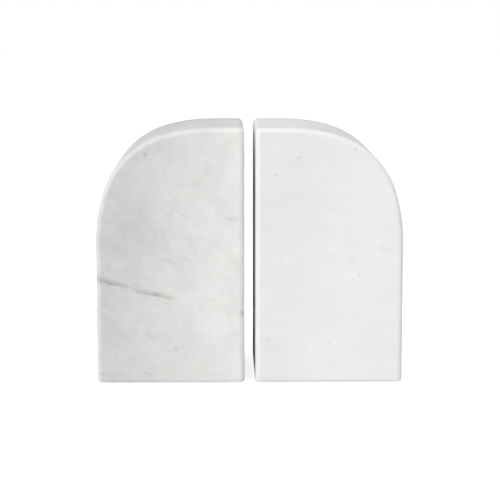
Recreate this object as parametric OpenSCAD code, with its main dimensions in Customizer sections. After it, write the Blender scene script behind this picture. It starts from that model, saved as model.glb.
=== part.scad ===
// Pair of solid marble book ends.
// Each block has a flat book face on the inside, a flat underside and one large rounded shoulder.
// The row of books stands between the two blocks. Origin: centre of the pair, on the shelf.
// +X points from the left block to the right block, +Y to the back and +Z up. All sizes in mm.

/* [Blocks] */
// Width of one block, from its book face to its outer face
block_w = 88.3; // [80:0.1:120]
// Depth of one block, front to back
block_d = 88.3; // [60:0.1:120]
// Height of the stone, without its pads
block_h = 152.4; // [100:0.1:220]
// Space between the two book faces as the pair stands together
book_gap = 6.4; // [4.2:0.1:60]

/* [Shoulder] */
// Radius of the gentle stretch at each end of the rounded shoulder
flank_r = 104; // [70:1:130]
// Radius of the tighter stretch between them
crown_r = 52; // [30:1:56]

/* [Edges] */
// Radius of the honed round along the front, back and inner edges
edge_r = 3.2; // [2:0.1:4]
// Height of the small bevel around the underside
arris = 1.2; // [0.4:0.1:1.6]

/* [Pads] */
// Diameter of a non-slip pad
pad_d = 12; // [8:0.5:16]
// Thickness of a non-slip pad
pad_h = 1.5; // [1:0.1:3]
// Distance from the block's sides to the middle of a pad
pad_inset = 16; // [12:0.5:24]
// Height of the bevel around the pad's lower rim
pad_bevel = 0.4; // [0.2:0.1:0.6]

/* [Hidden] */
$fn = 96;
SIDES = ["left", "right"];
// The pads under one block: name, whether it is by the outer face, whether it is at the back
PADS = [["front_inner", false, false], ["front_outer", true, false],
    ["back_inner", false, true], ["back_outer", true, true]];

// The shoulder is three tangent arcs: gentle, tight, gentle. Where two of them meet, the radius that
// they share leans 7 up for every 24 across, or the mirror image of that.
lean = [24, 7] / 25;
leans = [[1, 0], lean, [lean.y, lean.x], [0, 1]];
// How far the shoulder reaches along the top, and down the outer side
shoulder = flank_r * (1 - lean.x + lean.y) + crown_r * (lean.x - lean.y);
// Radii and centres of the arcs, from the outer side to the top, in the block's outline plane:
// x from the book face, y from the underside
arc_r = [flank_r, crown_r, flank_r];
arc_centre = [
    [block_w - flank_r, block_h - shoulder],
    [block_w - flank_r, block_h - shoulder] + (flank_r - crown_r) * lean,
    [block_w - shoulder, block_h - flank_r]
];

// The rim is the band along the outline that carries the rounded edges, and the core fills the rest.
rim_t = 3 * edge_r;
core_inset = 2 * edge_r;
core_steps = 8;

// Cross-section of the rim: x is measured outward, y along the block's depth
module rim_section(t) {
    intersection() {
        translate([-t, -block_d / 2]) square([t, block_d]);
        union() {
            translate([-rim_t, -block_d / 2]) square([rim_t - edge_r, block_d]);
            translate([-rim_t, edge_r - block_d / 2]) square([rim_t, block_d - 2 * edge_r]);
            for (s = [-1, 1]) translate([-edge_r, s * (block_d / 2 - edge_r)]) circle(edge_r);
        }
    }
}

// Straight stretch of rim between two points of the outline, facing the way that angle gives
module rim_bar(from, to, facing) {
    translate((from + to) / 2) rotate([0, 0, facing]) rotate([90, 0, 0])
        linear_extrude(norm(to - from), center = true) rim_section(rim_t);
}

// Quarter turn of rim of a radius, about the origin
module rim_quarter(r, t) {
    rotate_extrude(angle = 90) translate([r, 0]) rim_section(t);
}

// One arc of the shoulder: a quarter turn, cut to the wedge between two leaning radii
module rim_arc(i) {
    wedge = 2 * arc_r[i] * [[0, 0], leans[i], leans[i + 1]];
    translate(arc_centre[i]) intersection() {
        rim_quarter(arc_r[i], rim_t);
        linear_extrude(2 * block_d, center = true) polygon(wedge);
    }
}

// Points of one arc, set in from the outline
function inset_arc(i) = [
    for (step = [0:core_steps])
        let (across = leans[i] + (leans[i + 1] - leans[i]) * step / core_steps)
            arc_centre[i] + (arc_r[i] - core_inset) * across / norm(across)
];

// Everything above the bevel, lying on its back with the outline in the XY plane
module body() {
    linear_extrude(block_d, center = true) polygon([
        [core_inset, arris], [block_w - core_inset, arris],
        each inset_arc(0), each inset_arc(1), each inset_arc(2),
        [core_inset, block_h - core_inset]
    ]);
    rim_bar([block_w, arris], [block_w, block_h - shoulder], 0);
    for (i = [0:2]) rim_arc(i);
    rim_bar([block_w - shoulder, block_h], [edge_r, block_h], 90);
    translate([edge_r, block_h - edge_r]) rotate([0, 0, 90]) rim_quarter(edge_r, edge_r);
    rim_bar([0, block_h - edge_r], [0, arris], 180);
}

// Bevelled layer at the underside: two crossed tapered bars and a cone at each corner
module base_layer() {
    function taper(w) = [[arris, 0], [w - arris, 0], [w, arris], [0, arris]];
    translate([0, block_d / 2 - edge_r, 0]) rotate([90, 0, 0])
        linear_extrude(block_d - 2 * edge_r) polygon(taper(block_w));
    translate([edge_r, -block_d / 2, 0]) rotate([90, 0, 90])
        linear_extrude(block_w - 2 * edge_r) polygon(taper(block_d));
    for (x = [edge_r, block_w - edge_r], y = [edge_r - block_d / 2, block_d / 2 - edge_r])
        translate([x, y, 0]) cylinder(h = arris, r1 = edge_r - arris, r2 = edge_r);
}

// One block, standing on its underside with its book face on the YZ plane
module block() {
    rotate([90, 0, 0]) body();
    base_layer();
}

// Puts a right-hand piece in its place, or mirrors it for the left-hand block
module on_side(side) {
    mirror([side == "left" ? 1 : 0, 0, 0]) translate([book_gap / 2, 0, 0]) children();
}

module marble_block(side) {
    color([0.92, 0.915, 0.905]) on_side(side) translate([0, 0, pad_h]) block();
}

// Non-slip pad: a thin disc with a bevelled lower rim, stuck to the underside
module pad(side, outer, back) {
    x = outer ? block_w - pad_inset : pad_inset;
    y = (back ? 1 : -1) * (block_d / 2 - pad_inset);
    color([0.62, 0.62, 0.61]) on_side(side) translate([x, y, 0]) {
        cylinder(h = pad_bevel, r1 = pad_d / 2 - pad_bevel, r2 = pad_d / 2);
        translate([0, 0, pad_bevel]) cylinder(h = pad_h - pad_bevel, d = pad_d);
    }
}

for (side = SIDES) {
    marble_block(side);
    for (spot = PADS)
        pad(side, spot[1], spot[2]);
}
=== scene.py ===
"""Looks of the marble book ends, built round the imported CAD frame. Everything is in metres."""

import math

import bmesh
import bpy
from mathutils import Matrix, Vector


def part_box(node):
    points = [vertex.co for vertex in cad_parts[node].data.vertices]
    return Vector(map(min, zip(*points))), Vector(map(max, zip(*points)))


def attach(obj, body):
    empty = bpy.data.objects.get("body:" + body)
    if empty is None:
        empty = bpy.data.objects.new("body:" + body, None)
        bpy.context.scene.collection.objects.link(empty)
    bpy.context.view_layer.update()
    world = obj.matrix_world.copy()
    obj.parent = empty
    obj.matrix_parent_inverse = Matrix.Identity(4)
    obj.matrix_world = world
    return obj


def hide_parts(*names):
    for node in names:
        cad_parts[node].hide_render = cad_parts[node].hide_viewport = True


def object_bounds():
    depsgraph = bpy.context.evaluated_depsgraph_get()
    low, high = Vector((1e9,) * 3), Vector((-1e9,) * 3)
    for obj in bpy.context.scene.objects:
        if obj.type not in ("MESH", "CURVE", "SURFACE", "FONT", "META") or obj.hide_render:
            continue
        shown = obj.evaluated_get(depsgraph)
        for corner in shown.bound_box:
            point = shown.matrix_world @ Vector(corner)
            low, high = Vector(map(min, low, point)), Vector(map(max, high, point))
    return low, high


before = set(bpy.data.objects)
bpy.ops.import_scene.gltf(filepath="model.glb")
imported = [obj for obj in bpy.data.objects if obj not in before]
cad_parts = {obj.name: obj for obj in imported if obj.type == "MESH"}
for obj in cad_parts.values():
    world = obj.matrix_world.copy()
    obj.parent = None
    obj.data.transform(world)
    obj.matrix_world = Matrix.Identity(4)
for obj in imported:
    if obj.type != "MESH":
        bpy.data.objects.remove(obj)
cad_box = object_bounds()

MM = 0.001
SIDES = {"left": -1, "right": 1}
PAD_SPOTS = ("front_inner", "front_outer", "back_inner", "back_outer")

# Shape of a block, as in the CAD model. The shoulder is three tangent arcs: gentle, tight, gentle.
FLANK_R = 104 * MM
CROWN_R = 52 * MM
LEAN = math.atan2(7, 24)
EDGE_R = 3.2 * MM
ARRIS = 1.2 * MM
ARC_STEP = math.radians(1.5)
EDGE_SEGMENTS = 8
ARRIS_SEGMENTS = 4

# Shape of a pad
PAD_RIM = 0.4 * MM
PAD_RIM_STEPS = 6
PAD_SIDES = 64

# Two places closer than this are one place
TOUCHING = 1e-6
# Upward part of a face's normal, which only the underside's is below
FLAT_DOWN = -0.99


# ---------------------------------------------------------------- meshes

def arc(centre, radius, start, end):
    """Points of an arc in the outline plane, both ends included."""
    steps = max(1, round((end - start) / ARC_STEP))
    angles = [start + (end - start) * i / steps for i in range(steps + 1)]
    return [(centre[0] + radius * math.cos(a), centre[1] + radius * math.sin(a)) for a in angles]


def block_outline(width, height):
    """Front outline of a block: x from its book face, z from its underside, round by the outer side."""
    tight = FLANK_R - CROWN_R
    reach = FLANK_R * (1 - math.cos(LEAN) + math.sin(LEAN)) + CROWN_R * (math.cos(LEAN) - math.sin(LEAN))
    low = (width - FLANK_R, height - reach)
    middle = (low[0] + tight * math.cos(LEAN), low[1] + tight * math.sin(LEAN))
    high = (width - reach, height - FLANK_R)
    right_angle = math.pi / 2
    shoulder = arc(low, FLANK_R, 0, LEAN)
    shoulder += arc(middle, CROWN_R, LEAN, right_angle - LEAN)[1:]
    shoulder += arc(high, FLANK_R, right_angle - LEAN, right_angle)[1:]
    return [(0, 0), (width, 0), *shoulder, (0, height)]


def new_object(name, data):
    made = bpy.data.objects.new(name, data)
    bpy.context.scene.collection.objects.link(made)
    return made


def finish_mesh(name, bm):
    """Turns a bmesh into a smooth-shaded object whose flat faces stay flat."""
    bmesh.ops.recalc_face_normals(bm, faces=bm.faces)
    for face in bm.faces:
        face.smooth = True
    mesh = bpy.data.meshes.new(name)
    bm.to_mesh(mesh)
    bm.free()
    piece = new_object(name, mesh)
    shading = piece.modifiers.new("flat_faces", "WEIGHTED_NORMAL")
    shading.weight = 100
    return piece


def round_edges(bm, edges, radius, segments):
    bmesh.ops.bevel(
        bm, geom=edges, offset=radius, offset_type="OFFSET", segments=segments,
        profile=0.5, affect="EDGES", clamp_overlap=False,
    )


def add_prism(bm, outline, front, back):
    """A closed solid between the outline's copies at two depths."""
    rings = [[bm.verts.new((x, y, z)) for x, z in outline] for y in (front, back)]
    for ring in rings:
        bm.faces.new(ring)
    for i in range(len(outline)):
        j = (i + 1) % len(outline)
        bm.faces.new([rings[0][i], rings[0][j], rings[1][j], rings[1][i]])
    bmesh.ops.recalc_face_normals(bm, faces=bm.faces)


def honed_edges(bm, book_face, low, high):
    """Edges that carry the larger round: front and back ones above the underside, and the top inner one."""
    found = []
    for edge in bm.edges:
        middle = (edge.verts[0].co + edge.verts[1].co) / 2
        if abs(edge.verts[0].co.y - edge.verts[1].co.y) > TOUCHING:
            wanted = abs(middle.x - book_face) < TOUCHING and middle.z > high.z - TOUCHING
        else:
            wanted = middle.z > low.z + TOUCHING
        if wanted:
            found.append(edge)
    return found


def underside_edges(bm, low):
    """Edges round the underside."""
    return [
        edge for edge in bm.edges
        if all(vert.co.z < low.z + TOUCHING for vert in edge.verts)
        and any(face.normal.z > FLAT_DOWN for face in edge.link_faces)
    ]


def block_mesh(side):
    """One marble block, with its honed edge rounds and the small arris round its underside."""
    low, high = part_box(f"{side}_block")
    sign = SIDES[side]
    book_face = low.x if sign > 0 else high.x
    outline = [
        (book_face + sign * x, low.z + z)
        for x, z in block_outline(high.x - low.x, high.z - low.z)
    ]
    bm = bmesh.new()
    add_prism(bm, outline, low.y, high.y)
    round_edges(bm, honed_edges(bm, book_face, low, high), EDGE_R, EDGE_SEGMENTS)
    round_edges(bm, underside_edges(bm, low), ARRIS, ARRIS_SEGMENTS)
    return finish_mesh(f"{side}_marble", bm)


def pad_mesh(side, spot):
    """One rubber pad: a lathed disc with a rounded lower rim."""
    low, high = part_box(f"{side}_pad_{spot}")
    centre = (low + high) / 2
    radius = (high.x - low.x) / 2
    thickness = high.z - low.z
    turns = [math.pi / 2 * i / PAD_RIM_STEPS for i in range(PAD_RIM_STEPS + 1)]
    rim = [(radius - PAD_RIM + PAD_RIM * math.sin(a), PAD_RIM * (1 - math.cos(a))) for a in turns]
    profile = [(0, 0), *rim, (radius, thickness), (0, thickness)]
    bm = bmesh.new()
    verts = [bm.verts.new((r, 0, z)) for r, z in profile]
    edges = [bm.edges.new(pair) for pair in zip(verts, verts[1:])]
    bmesh.ops.spin(
        bm, geom=verts + edges, cent=(0, 0, 0), axis=(0, 0, 1),
        angle=2 * math.pi, steps=PAD_SIDES, use_merge=True,
    )
    bmesh.ops.remove_doubles(bm, verts=bm.verts, dist=TOUCHING)
    bmesh.ops.translate(bm, verts=bm.verts, vec=(centre.x, centre.y, low.z))
    return finish_mesh(f"{side}_rubber_{spot}", bm)


# ---------------------------------------------------------------- node helpers

# Plane of the two front faces, and how far the marks and the main vein's strands reach behind it
FRONT_Y = cad_box[0].y
MARK_DEPTH = 22 * MM
STRAND_DEPTH = 60 * MM


class Graph:
    """Short-hand for writing a node material."""

    def __init__(self, name):
        self.material = bpy.data.materials.new(name)
        self.material.use_nodes = True
        self.tree = self.material.node_tree
        self.shader = self.tree.nodes["Principled BSDF"]
        self.place = self.node("ShaderNodeTexCoord").outputs["Object"]

    def node(self, kind, inputs=None, **settings):
        made = self.tree.nodes.new(kind)
        for key, value in settings.items():
            setattr(made, key, value)
        for key, value in (inputs or {}).items():
            self.feed(made.inputs[key], value)
        return made

    def feed(self, socket, value):
        """Links a socket to another node's output, or sets it."""
        if isinstance(value, bpy.types.NodeSocket):
            self.tree.links.new(value, socket)
        else:
            socket.default_value = value

    def math(self, operation, a, b=0.0):
        return self.node("ShaderNodeMath", {0: a, 1: b}, operation=operation).outputs[0]

    def vector(self, operation, a, b=(0, 0, 0)):
        made = self.node("ShaderNodeVectorMath", {0: a}, operation=operation)
        self.feed(made.inputs["Scale" if operation == "SCALE" else 1], b)
        single = operation in ("LENGTH", "DOT_PRODUCT")
        return made.outputs["Value" if single else 0]

    def split(self, vector):
        """The x, y and z of a vector."""
        return self.node("ShaderNodeSeparateXYZ", {0: vector}).outputs

    def total(self, values):
        """Sum of several values."""
        result = values[0]
        for value in values[1:]:
            result = self.math("ADD", result, value)
        return result

    def noise(self, size, detail=2.0, roughness=0.5, at=None, output="Fac", seed=0.0):
        """Noise whose features are about size metres across."""
        inputs = {"W": seed, "Scale": 1 / size, "Detail": detail, "Roughness": roughness}
        inputs["Vector"] = at or self.place
        return self.node("ShaderNodeTexNoise", inputs, noise_dimensions="4D").outputs[output]

    def ramp(self, value, start, end, low=0.0, high=1.0, smooth=True):
        """Takes value from start..end to low..high, clamped."""
        return self.node(
            "ShaderNodeMapRange", {0: value, 1: start, 2: end, 3: low, 4: high},
            interpolation_type="SMOOTHSTEP" if smooth else "LINEAR",
        ).outputs[0]

    def mix(self, share, a, b):
        """Colour a, with a share of colour b in it."""
        made = self.node("ShaderNodeMix", data_type="RGBA")
        self.feed(made.inputs[0], share)
        self.feed(made.inputs[6], a)
        self.feed(made.inputs[7], b)
        return made.outputs[2]

    def bump(self, height, strength, distance):
        made = self.node("ShaderNodeBump", {"Height": height, "Strength": strength, "Distance": distance})
        self.feed(self.shader.inputs["Normal"], made.outputs[0])

    def warped(self, amount, size, seed=0.0, at=None):
        """A place, pushed about by up to amount metres in swirls of the given size."""
        swirl = self.noise(size, 3.0, 0.55, output="Color", seed=seed)
        centred = self.vector("SUBTRACT", swirl, (0.5, 0.5, 0.5))
        push = self.vector("SCALE", centred, self.math("MULTIPLY", amount, 2.0))
        return self.vector("ADD", at or self.place, push)

    def within(self, at, middle, half_sizes, turn=0.0):
        """Local place in an ellipsoid, whose length is 1 at its rim. It may be turned about Y."""
        return self.node(
            "ShaderNodeMapping",
            {"Vector": at, "Location": middle, "Rotation": (0, turn, 0), "Scale": half_sizes},
            vector_type="TEXTURE",
        ).outputs[0]

    def lens(self, at, start, end, thick, deep):
        """Local place in a lens between two points of the front plane."""
        across = Vector((end[0] - start[0], 0, end[1] - start[1]))
        middle = ((start[0] + end[0]) / 2, FRONT_Y, (start[1] + end[1]) / 2)
        turn = -math.atan2(across.z, across.x)
        return self.within(at, middle, (across.length / 2, deep, thick), turn)

    def streak(self, at, start, end, thick, strength):
        """A soft lens of mineral that fades to its rim."""
        length = math.dist(start, end)
        deep = min(MARK_DEPTH, max(1.5 * length, 2 * thick))
        local = self.lens(at, start, end, thick, deep)
        return self.math("MULTIPLY", self.ramp(self.vector("LENGTH", local), 1.0, 0.0), strength)

    def strand(self, at, start, end, thick, strength):
        """A brushed vein: cut off sharply along its lower edge, fading upwards in fine hairs."""
        local = self.lens(at, start, end, thick, STRAND_DEPTH)
        combed = self.vector("MULTIPLY", local, (1.2, 2.0, 5.0))
        hairs = self.noise(1.0, 3.0, 0.6, at=combed, seed=thick * 900)
        pushed = self.math("MULTIPLY", self.math("SUBTRACT", hairs, 0.5), 0.9)
        along, deep, up = self.split(local)
        height = self.math("ADD", up, pushed)
        body = self.math("MULTIPLY", self.ramp(height, 1.0, -0.1), self.ramp(height, -0.6, -0.1))
        spread = self.math("ADD", self.math("MULTIPLY", along, along), self.math("MULTIPLY", deep, deep))
        body = self.math("MULTIPLY", body, self.ramp(spread, 1.0, 0.1))
        return self.math("MULTIPLY", body, strength)

    def thread(self, size, thin, seed, at=None):
        """Thin wandering lines, where swirling noise passes through its middle value."""
        level = self.noise(size, 2.0, 0.5, at=at, seed=seed)
        return self.ramp(self.math("ABSOLUTE", self.math("SUBTRACT", level, 0.5)), thin, 0.0)


# ---------------------------------------------------------------- marble

# Marks on the front of each stone, in millimetres from the middle of the pair and from the shelf:
# x and z of one end, x and z of the other, half thickness and strength
STRANDS = {
    "left": [
        (-99.5, 66.0, -70.5, 59.0, 3.0, 0.56), (-87.5, 63.0, -78.0, 60.0, 1.2, 0.20),
        (-71.5, 58.0, -52.5, 54.0, 3.2, 0.44), (-60.0, 56.0, -44.0, 52.0, 2.5, 0.40),
        (-70.5, 61.0, -63.5, 59.5, 1.4, 0.22),
    ],
    "right": [],
}
STREAKS = {
    "left": [
        # stub where the inner strand starts, and the tail of the outer one
        (-70.5, 61.0, -69.5, 56.0, 1.2, 0.34), (-76.5, 60.0, -69.5, 59.0, 0.9, 0.20),
        # slanting pairs
        (-44.5, 105.5, -35.0, 99.0, 1.7, 0.19), (-52.5, 78.5, -42.0, 71.5, 1.8, 0.21),
        (-43.0, 80.0, -33.5, 73.5, 1.8, 0.18), (-80.0, 33.5, -70.5, 26.5, 1.9, 0.22),
        (-65.5, 33.0, -55.0, 27.0, 1.9, 0.22),
        # dashes near the underside
        (-82.0, 7.5, -73.5, 6.0, 1.2, 0.34), (-66.0, 8.0, -57.5, 6.0, 1.2, 0.34),
        (-92.0, 7.0, -86.0, 6.5, 1.4, 0.24),
        # smudges, faint wisps and flecks
        (-17.0, 100.5, -5.5, 100.0, 2.3, 0.27), (-36.0, 52.0, -14.0, 52.0, 2.4, 0.08),
        (-26.0, 84.0, -18.0, 87.0, 1.8, 0.07), (-14.5, 57.5, -19.0, 53.5, 1.4, 0.14),
        (-36.5, 121.0, -26.0, 122.5, 2.8, 0.10), (-78.0, 118.5, -68.0, 114.5, 3.0, 0.12),
        (-89.0, 97.5, -77.0, 101.0, 3.4, 0.12), (-84.0, 76.0, -74.0, 78.5, 3.0, 0.10),
        (-12.5, 45.5, -12.0, 41.5, 1.1, 0.22), (-5.0, 47.0, -4.5, 40.5, 1.8, 0.50),
    ],
    "right": [
        # dark flecks, and one faint smudge
        (27.0, 135.5, 30.5, 138.0, 1.0, 0.34), (14.0, 125.0, 17.0, 127.5, 1.0, 0.34),
        (61.5, 142.5, 63.5, 140.5, 1.1, 0.30), (64.0, 68.5, 66.0, 64.0, 1.4, 0.22),
        (10.0, 25.5, 13.5, 29.0, 1.2, 0.24), (8.5, 26.0, 11.5, 25.5, 1.0, 0.12),
        (45.5, 25.5, 49.0, 24.0, 1.4, 0.25), (76.5, 86.0, 82.5, 78.5, 3.2, 0.09),
    ],
}
# Rust-brown spots: x and z of the middle, radius and strength
SPOTS = {
    "left": [
        (-62.0, 138.5, 1.9, 0.50), (-56.5, 138.5, 1.0, 0.16), (-44.0, 22.0, 2.0, 0.26),
        (-76.5, 40.0, 1.0, 0.16), (-68.0, 39.5, 1.0, 0.14), (-88.5, 39.5, 1.2, 0.18),
    ],
    "right": [],
}
# Healed cracks, paler than the stone: rows as for the streaks
HEALED = {
    "left": [(-33.0, 74.5, -20.0, 98.0, 3.5, 0.10)],
    "right": [
        (39.0, 90.5, 47.0, 86.0, 1.8, 0.50), (45.0, 87.5, 54.0, 78.0, 1.8, 0.62),
        (51.5, 81.0, 61.5, 68.5, 1.5, 0.62), (22.0, 67.0, 14.0, 59.0, 1.4, 0.46),
        (15.5, 61.0, 9.5, 51.0, 1.3, 0.42), (41.0, 88.0, 43.0, 94.0, 3.0, 0.40),
        (30.5, 112.0, 35.0, 98.5, 1.0, 0.40), (44.5, 131.5, 48.0, 118.5, 1.1, 0.30),
    ],
}
# Faint ochre stains beside the healed cracks: rows as for the streaks
STAINS = {
    "left": [],
    "right": [(56.0, 83.0, 63.0, 69.0, 3.6, 0.26), (22.5, 69.0, 12.5, 54.0, 3.4, 0.22)],
}

DARK_MINERAL = (0.33, 0.305, 0.30, 1)
RUST = (0.42, 0.30, 0.26, 1)
CALCITE_AND_HIGHLIGHT = (0.965, 0.96, 0.945, 1)
OCHRE = (0.80, 0.76, 0.60, 1)
GRAIN_GREY = (0.62, 0.62, 0.63, 1)

# Tones of each stone: its warm and cool patches, the grey of its clouds, which also colours the painted shade
# over the left stone's top, where the clouds thicken along x, how strongly they vary, and how much further in
# they reach towards the top
TONES = {
    "left": {
        "warm": (0.892, 0.881, 0.855, 1), "cool": (0.879, 0.861, 0.872, 1), "cloud_and_shade": (0.562, 0.555, 0.550, 1),
        "from": 12 * MM, "to": -88 * MM, "share": 0.75, "depth": 0.69, "lean": 0.15,
    },
    "right": {
        "warm": (0.935, 0.932, 0.927, 1), "cool": (0.926, 0.922, 0.932, 1), "cloud_and_shade": (0.80, 0.795, 0.798, 1),
        "from": 84 * MM, "to": 2 * MM, "share": 0.60, "depth": 0.7, "lean": 0.28,
    },
}
# Height where a leaning cloud reaches as far as its row says
CLOUD_PIVOT_Z = 85 * MM
# Painted shade over the top of the left stone, greying its top face behind the front edge: its middle and
# half sizes
TOP_SHADE = {"middle": (-40 * MM, 12 * MM, 158 * MM), "reach": (90 * MM, 54 * MM, 26 * MM), "share": 0.22}
# Strength of each stone's hairline cracks
CRAZING = {"left": 0.04, "right": 0.34}
# How far the pattern is swirled aside deep in the stone, and the depth from which it is
DRIFT = 14 * MM
DRIFT_DEPTH = 60 * MM
# Normal of the bedding, the gap between its veins, and a shift that brings one to the main vein
BEDDING = (0.20, 0.08, 1.0)
BEDDING_GAP = 64 * MM
BEDDING_START = 25 * MM
# Start of each stone's noise patterns
NOISE_SEED = {"left": 3.0, "right": 8.0}
# Sizes of the grain and of the surface's finest tooth, and the spacing of the pits
GRAIN_SIZE = 0.7 * MM
TOOTH_SIZE = 0.25 * MM
PIT_SPACING = 4.5 * MM
# The honed finish: roughness where it is smoothest and roughest, and the height of its relief
HONED_SMOOTH = 0.43
HONED_ROUGH = 0.52
RELIEF = 0.01 * MM
MARBLE_IOR = 1.49


def streaks(g, at, rows):
    """All the streaks in a list of rows, added up."""
    return g.total([
        g.streak(at, (x1 * MM, z1 * MM), (x2 * MM, z2 * MM), thick * MM, strength)
        for x1, z1, x2, z2, thick, strength in rows
    ])


def strands(g, at, rows):
    """The main vein's strands, each on its own."""
    return [
        g.strand(at, (x1 * MM, z1 * MM), (x2 * MM, z2 * MM), thick * MM, strength)
        for x1, z1, x2, z2, thick, strength in rows
    ]


def spots(g, at, rows):
    """All the round spots in a list of rows, added up."""
    return streaks(g, at, [(x - size, z, x + size, z, size, strength) for x, z, size, strength in rows])


def ground(g, side, seed):
    """Warm and cool patches under grey clouds that thicken towards one side, with painted shade greying the
    left stone's top.
    """
    tones = TONES[side]
    depth = tones["depth"]
    patches = g.ramp(g.noise(20 * MM, 3.0, 0.55, seed=seed), 0.38, 0.62)
    colour = g.mix(patches, tones["warm"], tones["cool"])
    billows = g.noise(34 * MM, 4.0, 0.6, seed=seed + 1)
    mottle = g.noise(9 * MM, 3.0, 0.6, seed=seed + 2)
    flecks = g.noise(3 * MM, 3.0, 0.6, seed=seed + 12)
    x, _, z = g.split(g.warped(14 * MM, 50 * MM, seed + 7))
    lean = g.math("MULTIPLY", g.math("SUBTRACT", z, CLOUD_PIVOT_Z), tones["lean"])
    cloud_and_shade = g.total([
        g.ramp(g.math("SUBTRACT", x, lean), tones["from"], tones["to"], 0.0, tones["share"]),
        g.ramp(billows, 0.34, 0.68, -0.10 * depth, 0.16 * depth),
        g.ramp(mottle, 0.32, 0.68, -0.07 * depth, 0.11 * depth),
        g.ramp(flecks, 0.32, 0.68, -0.05 * depth, 0.07 * depth),
    ])
    if side == "left":
        # Painted shade: the left stone's top face is greyed behind its front edge, so it reads darker than
        # the front
        cloud_and_shade = g.math("ADD", cloud_and_shade, painted_top_shade(g))
    return g.mix(g.math("MAXIMUM", cloud_and_shade, 0.0), colour, tones["cloud_and_shade"])


def painted_top_shade(g):
    """Share of the painted shade over the top of the left stone, greying its top face behind the front edge.
    """
    local = g.within(g.warped(8 * MM, 30 * MM, 5.0), TOP_SHADE["middle"], TOP_SHADE["reach"])
    return g.ramp(g.vector("LENGTH", local), 1.0, 0.55, 0.0, TOP_SHADE["share"])


def behind_front(g, start, end):
    """0 from the front face to a depth of start, 1 from a depth of end."""
    return g.ramp(g.split(g.place)[1], FRONT_Y + start, FRONT_Y + end)


def hidden_veins(g, at, seed):
    """Grey veins in broken stretches along the stone's bedding, kept behind its front face."""
    level = g.vector("DOT_PRODUCT", at, Vector(BEDDING).normalized())
    away = g.math("PINGPONG", g.math("ADD", level, BEDDING_START), BEDDING_GAP / 2)
    line = g.total([
        g.ramp(away, 0.5 * MM, 0.0, 0.0, 0.34),
        g.ramp(away, 2.6 * MM, 0.0, 0.0, 0.20),
        g.ramp(away, 9.0 * MM, 0.0, 0.0, 0.05),
    ])
    presence = g.ramp(g.noise(44 * MM, 3.0, 0.6, seed=seed + 8), 0.47, 0.62)
    return g.math("MULTIPLY", g.math("MULTIPLY", line, presence), behind_front(g, 6 * MM, 30 * MM))


def crazing(g, side, at, seed):
    """Patches of pale hairline cracks."""
    patches = g.ramp(g.noise(24 * MM, 2.0, 0.5, seed=seed + 13), 0.54, 0.66, 0.0, CRAZING[side])
    return g.math("MULTIPLY", g.thread(26 * MM, 0.012, seed + 10, at=at), patches)


def specks(g, seed):
    """1 in tiny pits, a few to each square centimetre."""
    cells = g.node("ShaderNodeTexVoronoi", {"Vector": g.place, "Scale": 1 / PIT_SPACING})
    rare = g.ramp(g.noise(11 * MM, 1.0, 0.5, seed=seed), 0.52, 0.6)
    return g.math("MULTIPLY", g.ramp(cells.outputs["Distance"], 0.075, 0.035), rare)


def edge_wear_and_highlight(g, seed):
    """1 in patches along the front and back edge rounds, where hands and books polish the stone and where a
    paler colour paints a highlight on the rounds.
    """
    facing = g.split(g.node("ShaderNodeTexCoord").outputs["Normal"])[1]
    turn = g.math("ABSOLUTE", facing)
    rounds = g.math("MULTIPLY", g.ramp(turn, 0.05, 0.45), g.ramp(turn, 0.99, 0.85))
    return g.math("MULTIPLY", rounds, g.ramp(g.noise(5 * MM, 3.0, 0.6, seed=seed), 0.42, 0.6))


def marked_colour(g, side, seed, pits):
    """Colour of a stone with all its marks: veins, streaks, pits, spots, stains and healed cracks."""
    drift = g.math("MULTIPLY", behind_front(g, 0.0, DRIFT_DEPTH), DRIFT)
    at = g.warped(drift, 70 * MM, seed + 9, at=g.warped(0.8 * MM, 6 * MM, seed + 3))
    broken = g.ramp(g.noise(2.6 * MM, 3.0, 0.6, seed=seed + 4), 0.28, 0.6, 0.5, 1.0)
    dark = g.total([
        g.math("MULTIPLY", streaks(g, at, STREAKS[side]), broken),
        hidden_veins(g, at, seed),
        *strands(g, at, STRANDS[side]),
        g.math("MULTIPLY", pits, 0.22),
    ])
    colour = g.mix(g.math("MINIMUM", dark, 1.0), ground(g, side, seed), DARK_MINERAL)
    if SPOTS[side]:
        colour = g.mix(spots(g, at, SPOTS[side]), colour, RUST)
    if STAINS[side]:
        colour = g.mix(streaks(g, at, STAINS[side]), colour, OCHRE)
    healed = g.math("MULTIPLY", streaks(g, at, HEALED[side]), broken)
    pale = g.math("ADD", healed, crazing(g, side, at, seed))
    return g.mix(g.math("MINIMUM", pale, 1.0), colour, CALCITE_AND_HIGHLIGHT)


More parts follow.
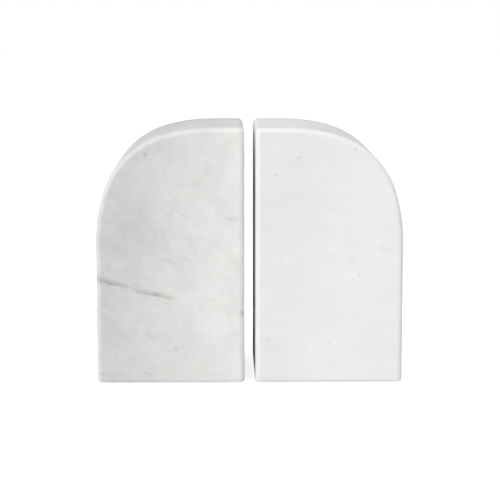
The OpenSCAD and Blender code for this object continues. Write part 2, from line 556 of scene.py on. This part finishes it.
def marble(side):
    """White honed marble: marked and clouded colour with painted shade over the left stone's top, fine grain,
    worn edges with a painted highlight and a honed surface.
    """
    g = Graph(f"{side}_white_marble")
    seed = NOISE_SEED[side]
    pits = specks(g, seed + 5)
    grain = g.noise(GRAIN_SIZE, 2.0, 0.6, seed=seed + 6)
    wear_and_highlight = edge_wear_and_highlight(g, seed + 11)

    colour = marked_colour(g, side, seed, pits)
    colour = g.mix(g.ramp(grain, 0.3, 0.7, 0.0, 0.05, smooth=False), colour, GRAIN_GREY)
    # Painted highlight: the edge rounds are made paler in colour, in patches
    colour = g.mix(g.math("MULTIPLY", wear_and_highlight, 0.06), colour, CALCITE_AND_HIGHLIGHT)
    g.feed(g.shader.inputs["Base Color"], colour)

    strokes = g.noise(9 * MM, 4.0, 0.6, seed=seed + 5)
    honing = g.ramp(strokes, 0.3, 0.7, HONED_SMOOTH, HONED_ROUGH, smooth=False)
    g.feed(g.shader.inputs["Roughness"], g.math("SUBTRACT", honing, g.math("MULTIPLY", wear_and_highlight, 0.04)))
    relief = g.total([
        g.math("MULTIPLY", grain, 0.6),
        g.noise(TOOTH_SIZE, 2.0, 0.6, seed=seed + 6),
        g.math("MULTIPLY", pits, -6.0),
    ])
    g.bump(relief, 0.25, RELIEF)

    g.shader.inputs["Subsurface Weight"].default_value = 0.3
    g.shader.inputs["Subsurface Radius"].default_value = (1.0, 0.8, 0.65)
    g.shader.inputs["Subsurface Scale"].default_value = 3 * MM
    g.shader.inputs["IOR"].default_value = MARBLE_IOR
    return g.material


# ---------------------------------------------------------------- rubber

RUBBER_DARK = (0.30, 0.30, 0.29, 1)
RUBBER_LIGHT = (0.40, 0.40, 0.39, 1)


def rubber():
    """Dark grey moulded rubber with a fine matt texture."""
    g = Graph("pad_rubber")
    mottle = g.noise(1.5 * MM, 3.0, 0.6)
    g.feed(g.shader.inputs["Base Color"], g.mix(mottle, RUBBER_DARK, RUBBER_LIGHT))
    g.feed(g.shader.inputs["Roughness"], g.ramp(mottle, 0.3, 0.7, 0.75, 0.9, smooth=False))
    g.bump(g.noise(0.3 * MM, 2.0), 0.4, 0.05 * MM)
    return g.material


# ---------------------------------------------------------------- stage

WHITE = (1, 1, 1, 1)
FLOOR_RADIUS = 6.0
FLOOR_GREY = (0.7, 0.7, 0.7, 1)
FLOOR_GLOW = 0.82
WORLD_LIGHT = 0.577
# How bright the world's right end is beside its left end, as with a black card there
RIGHT_END = 0.35

# Softboxes: place, size and watts
PANELS = {
    "top": ((0.0, -0.15, 1.2), 0.5, 1.2),
    "left": ((-1.1, -0.2, 0.5), 0.8, 4.5),
    "front": ((0.0, -1.2, 0.45), 0.6, 1.45),
    "front_left": ((-0.7, -0.9, 0.4), 0.6, 3.95),
    "top_right": ((0.7, -0.1, 1.0), 0.5, 3.0),
}

# Camera at the photograph's viewing angle: its distance is from the front faces
LENS = 122.4
SENSOR = 36
CAMERA_X = -18.0 * MM
CAMERA_AWAY = 997.8 * MM
CAMERA_Z = 231.3 * MM
CAMERA_YAW = math.radians(1.034)
CAMERA_DOWN = math.radians(8.529)


def seen_by_camera(tree):
    """1 for a ray straight from the camera, 0 for light on its way between surfaces."""
    return tree.nodes.new("ShaderNodeLightPath").outputs["Is Camera Ray"]


def add_floor():
    """A wide pale disc that looks white, as a studio sweep does, without lighting the stone from below."""
    bm = bmesh.new()
    bmesh.ops.create_circle(bm, cap_ends=True, radius=FLOOR_RADIUS, segments=96)
    mesh = bpy.data.meshes.new("floor")
    bm.to_mesh(mesh)
    bm.free()
    floor = new_object("floor", mesh)
    g = Graph("pale_floor")
    g.shader.inputs["Base Color"].default_value = FLOOR_GREY
    g.shader.inputs["Roughness"].default_value = 0.9
    g.shader.inputs["Specular IOR Level"].default_value = 0.1
    g.shader.inputs["Emission Color"].default_value = WHITE
    glow = g.math("MULTIPLY", seen_by_camera(g.tree), FLOOR_GLOW)
    g.feed(g.shader.inputs["Emission Strength"], glow)
    floor.data.materials.append(g.material)


def add_world():
    """Even white light that falls off towards the right, behind a backdrop that looks white throughout."""
    world = bpy.data.worlds.new("studio")
    world.use_nodes = True
    tree = world.node_tree
    light = tree.nodes["Background"]
    direction = tree.nodes.new("ShaderNodeTexCoord").outputs["Generated"]
    sideways = tree.nodes.new("ShaderNodeSeparateXYZ")
    tree.links.new(direction, sideways.inputs[0])
    fall_off = tree.nodes.new("ShaderNodeMapRange")
    tree.links.new(sideways.outputs[0], fall_off.inputs["Value"])
    fall_off.inputs["To Min"].default_value = WORLD_LIGHT
    fall_off.inputs["To Max"].default_value = WORLD_LIGHT * RIGHT_END
    tree.links.new(fall_off.outputs[0], light.inputs["Strength"])
    backdrop = tree.nodes.new("ShaderNodeBackground")
    backdrop.inputs["Strength"].default_value = 1.0
    for background in (light, backdrop):
        background.inputs["Color"].default_value = WHITE
    choice = tree.nodes.new("ShaderNodeMixShader")
    tree.links.new(seen_by_camera(tree), choice.inputs[0])
    tree.links.new(light.outputs[0], choice.inputs[1])
    tree.links.new(backdrop.outputs[0], choice.inputs[2])
    tree.links.new(choice.outputs[0], tree.nodes["World Output"].inputs["Surface"])
    bpy.context.scene.world = world


def add_panel(name, place, size, watts):
    """A square softbox that the camera doesn't see, turned to the middle of the pair."""
    light = bpy.data.lights.new(name, "AREA")
    light.shape = "SQUARE"
    light.size = size
    light.energy = watts
    panel = new_object(name, light)
    panel.location = place
    middle = (cad_box[0] + cad_box[1]) / 2
    panel.rotation_euler = (middle - Vector(place)).to_track_quat("-Z", "Y").to_euler()
    panel.visible_camera = False


def add_camera():
    data = bpy.data.cameras.new("camera")
    data.lens = LENS
    data.sensor_width = SENSOR
    camera = new_object("camera", data)
    camera.location = (CAMERA_X, FRONT_Y - CAMERA_AWAY, CAMERA_Z)
    camera.rotation_euler = (math.pi / 2 - CAMERA_DOWN, 0, -CAMERA_YAW)
    bpy.context.scene.camera = camera


def add_stage():
    add_floor()
    add_world()
    for name, (place, size, watts) in PANELS.items():
        add_panel(name, place, size, watts)
    bpy.context.scene.view_settings.view_transform = "Standard"
    add_camera()


# ---------------------------------------------------------------- assembly

rubber_material = rubber()
for side in SIDES:
    body = f"{side}_bookend"
    block = block_mesh(side)
    block.data.materials.append(marble(side))
    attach(block, body)
    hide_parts(f"{side}_block")
    for spot in PAD_SPOTS:
        pad = pad_mesh(side, spot)
        pad.data.materials.append(rubber_material)
        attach(pad, body)
        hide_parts(f"{side}_pad_{spot}")
add_stage()
